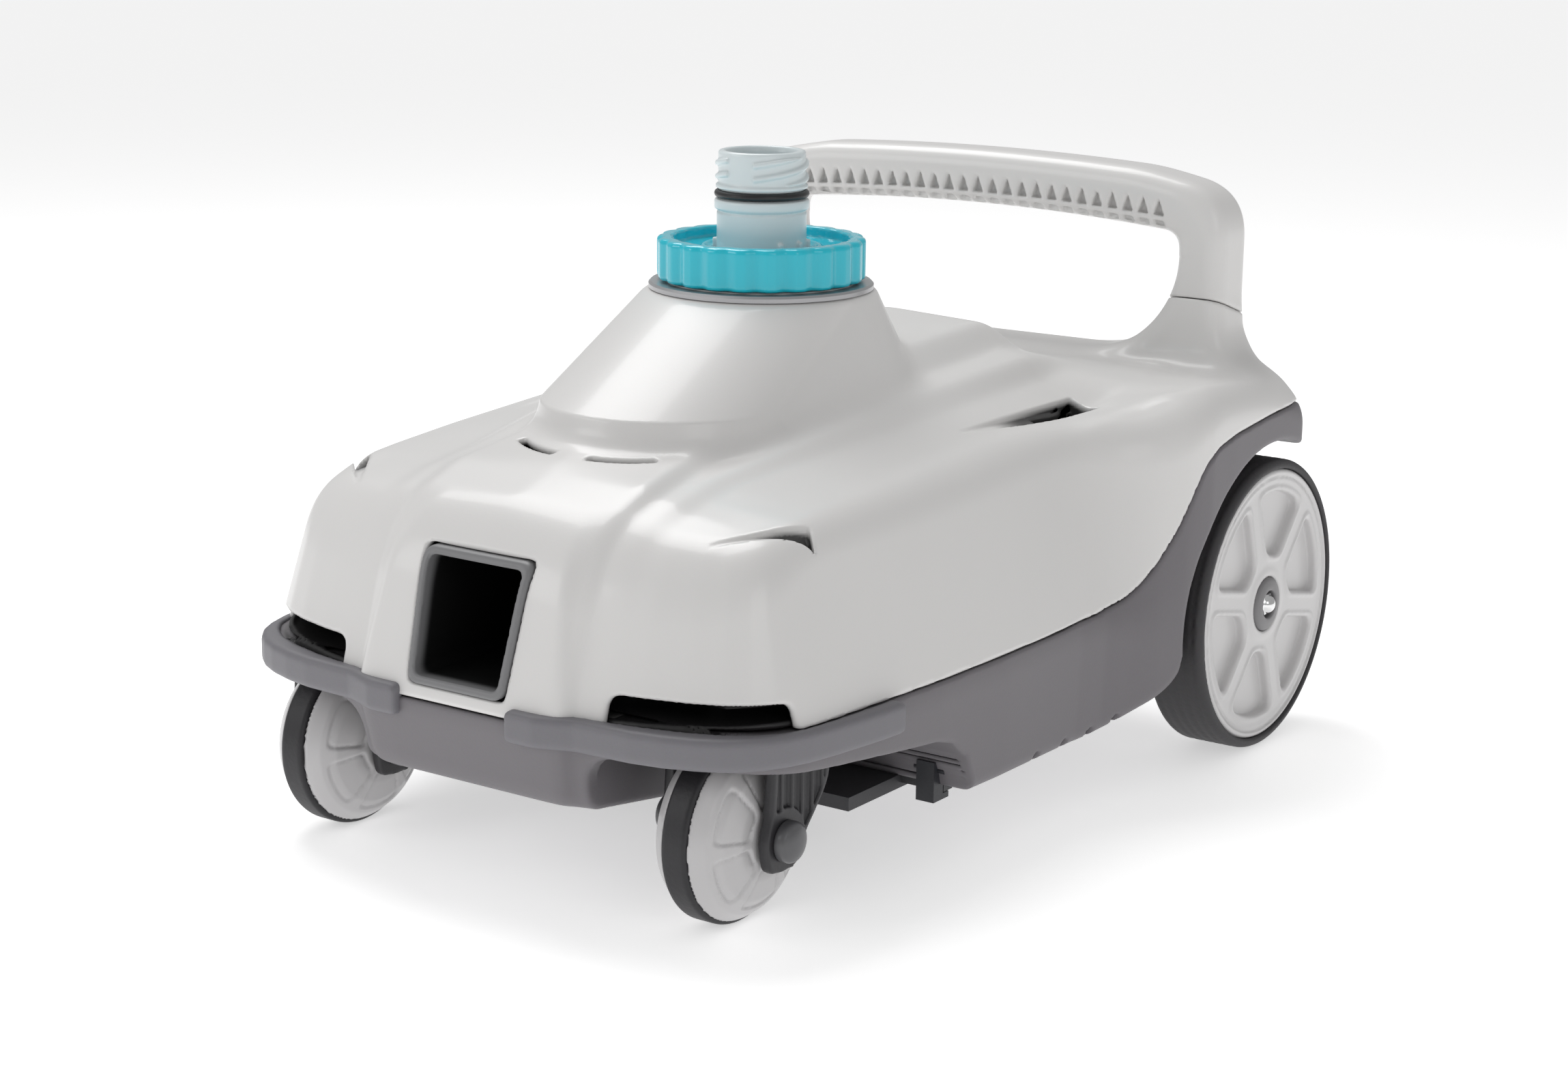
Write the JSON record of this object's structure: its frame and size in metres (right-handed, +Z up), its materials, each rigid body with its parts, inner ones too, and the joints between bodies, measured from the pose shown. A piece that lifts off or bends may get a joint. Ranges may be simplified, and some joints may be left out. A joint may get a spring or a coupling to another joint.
{
  "type": "pool floor cleaner",
  "caption": "Wheeled swimming-pool floor cleaner with a carrying handle, a top hose connection held by a scalloped lock nut, a front water nozzle, steered front wheels and corner bumpers.",
  "frame": {"origin": "on the floor under the middle of the cleaner's bounding box", "axes": "+Z up, the nozzle mouth faces -Y, the machine is mirror-symmetric about X = 0"},
  "size_m": [0.35, 0.464, 0.289],
  "materials": {
    "cover_white": "pearly satin gloss",
    "chassis_grey": "fine satin",
    "nozzle_grey": "satin",
    "bumper_slate": "matte",
    "ring_silver": "satin",
    "collar_white": "gloss",
    "seal_black": "matte",
    "nut_teal": "gloss",
    "adapter_white": "gloss",
    "inner_grey": "satin",
    "gear_white": "satin",
    "steel": "bright",
    "plate_grey": "satin",
    "latch_black": "satin",
    "rear_disc_white": "satin gloss",
    "tyre_dark": "matte",
    "hub_grey": "satin",
    "nut_chrome": "polished",
    "fork_grey": "satin",
    "caster_light": "satin gloss",
    "band_black": "matte"
  },
  "bodies": {
    "chassis": {"top_cover": "cover_white", "bottom_housing": "chassis_grey", "handle_grip": "cover_white", "front_nozzle": "nozzle_grey", "rear_nozzle": "nozzle_grey", "bumper_right": "bumper_slate", "bumper_left": "bumper_slate", "flange_ring": "ring_silver", "hose_collar": "collar_white", "collar_gasket": "seal_black", "water_box": "inner_grey", "water_box_lid": "inner_grey", "gearbox_case": "inner_grey", "gearbox_lid": "inner_grey", "gearbox_screws": "steel", "gear_pins": "steel", "housing_screws": "steel", "intake_plate": "plate_grey", "rear_axle": "steel", "rear_axle_nut_right": "nut_chrome", "rear_axle_nut_left": "nut_chrome"},
    "hose_adapter": {"hose_adapter": "adapter_white", "adapter_o_ring": "seal_black"},
    "lock_nut": {"lock_nut": "nut_teal"},
    "diverter_flap": {"diverter_flap": "inner_grey"},
    "turbine": {"turbine_wheel": "inner_grey", "turbine_shaft": "steel", "drive_pinion": "gear_white"},
    "compound_gear": {"compound_gear": "gear_white"},
    "output_gear": {"output_gear": "gear_white"},
    "rear_wheel_right": {"rear_wheel_right": "rear_disc_white", "rear_tyre_right": "tyre_dark", "rear_bush_right": "hub_grey", "rear_hub_cap_right": "hub_grey"},
    "caster_right": {"caster_fork_right": "fork_grey", "caster_stem_clip_right": "steel", "caster_axle_right": "steel", "caster_axle_caps_right": "fork_grey"},
    "caster_wheel_right": {"caster_wheel_inner_right": "caster_light", "caster_wheel_outer_right": "caster_light", "caster_tyre_right": "band_black"},
    "latch_right": {"latch_right": "latch_black"},
    "rear_wheel_left": {"rear_wheel_left": "rear_disc_white", "rear_tyre_left": "tyre_dark", "rear_bush_left": "hub_grey", "rear_hub_cap_left": "hub_grey"},
    "caster_left": {"caster_fork_left": "fork_grey", "caster_stem_clip_left": "steel", "caster_axle_left": "steel", "caster_axle_caps_left": "fork_grey"},
    "caster_wheel_left": {"caster_wheel_inner_left": "caster_light", "caster_wheel_outer_left": "caster_light", "caster_tyre_left": "band_black"},
    "latch_left": {"latch_left": "latch_black"}
  },
  "joints": [
    {"name": "rear_wheel_spin_right", "type": "hinge", "parent": "chassis", "child": "rear_wheel_right", "pos_m": [0.157, 0.162, 0.07], "axis": [1, 0, 0], "continuous": true},
    {"name": "caster_steer_right", "type": "hinge", "parent": "chassis", "child": "caster_right", "pos_m": [0.103, -0.168, 0.09], "axis": [0, 0, 1], "range_deg": [-22, 22]},
    {"name": "caster_spin_right", "type": "hinge", "parent": "caster_right", "child": "caster_wheel_right", "pos_m": [0.103, -0.1785, 0.0388], "axis": [1, 0, 0], "continuous": true},
    {"name": "latch_swing_right", "type": "hinge", "parent": "chassis", "child": "latch_right", "pos_m": [0.125, -0.064, 0.038], "axis": [1, 0, 0], "range_deg": [-90, 0]},
    {"name": "rear_wheel_spin_left", "type": "hinge", "parent": "chassis", "child": "rear_wheel_left", "pos_m": [-0.157, 0.162, 0.07], "axis": [1, 0, 0], "continuous": true},
    {"name": "caster_steer_left", "type": "hinge", "parent": "chassis", "child": "caster_left", "pos_m": [-0.103, -0.168, 0.09], "axis": [0, 0, 1], "range_deg": [-22, 22]},
    {"name": "caster_spin_left", "type": "hinge", "parent": "caster_left", "child": "caster_wheel_left", "pos_m": [-0.103, -0.1785, 0.0388], "axis": [1, 0, 0], "continuous": true},
    {"name": "latch_swing_left", "type": "hinge", "parent": "chassis", "child": "latch_left", "pos_m": [-0.125, -0.064, 0.038], "axis": [1, 0, 0], "range_deg": [-90, 0]},
    {"name": "hose_swivel", "type": "hinge", "parent": "chassis", "child": "hose_adapter", "pos_m": [0, -0.0165, 0.24], "axis": [0, 0, 1], "continuous": true},
    {"name": "lock_nut_turn", "type": "hinge", "parent": "chassis", "child": "lock_nut", "pos_m": [0, -0.0165, 0.24], "axis": [0, 0, 1], "range_deg": [0, 120]},
    {"name": "flap_swing", "type": "hinge", "parent": "chassis", "child": "diverter_flap", "pos_m": [0, -0.0165, 0.093], "axis": [1, 0, 0], "range_deg": [-18, 18]},
    {"name": "turbine_spin", "type": "hinge", "parent": "chassis", "child": "turbine", "pos_m": [0.034, -0.0165, 0.172], "axis": [1, 0, 0], "continuous": true},
    {"name": "compound_spin", "type": "hinge", "parent": "chassis", "child": "compound_gear", "pos_m": [0.036, 0.00532, 0.1594], "axis": [1, 0, 0], "continuous": true},
    {"name": "output_spin", "type": "hinge", "parent": "chassis", "child": "output_gear", "pos_m": [0.04, -0.0165, 0.1468], "axis": [1, 0, 0], "continuous": true}
  ],
  "couplings": [
    {"joint": "compound_spin", "follows": "turbine_spin", "ratio": -0.4},
    {"joint": "output_spin", "follows": "turbine_spin", "ratio": 0.16}
  ]
}
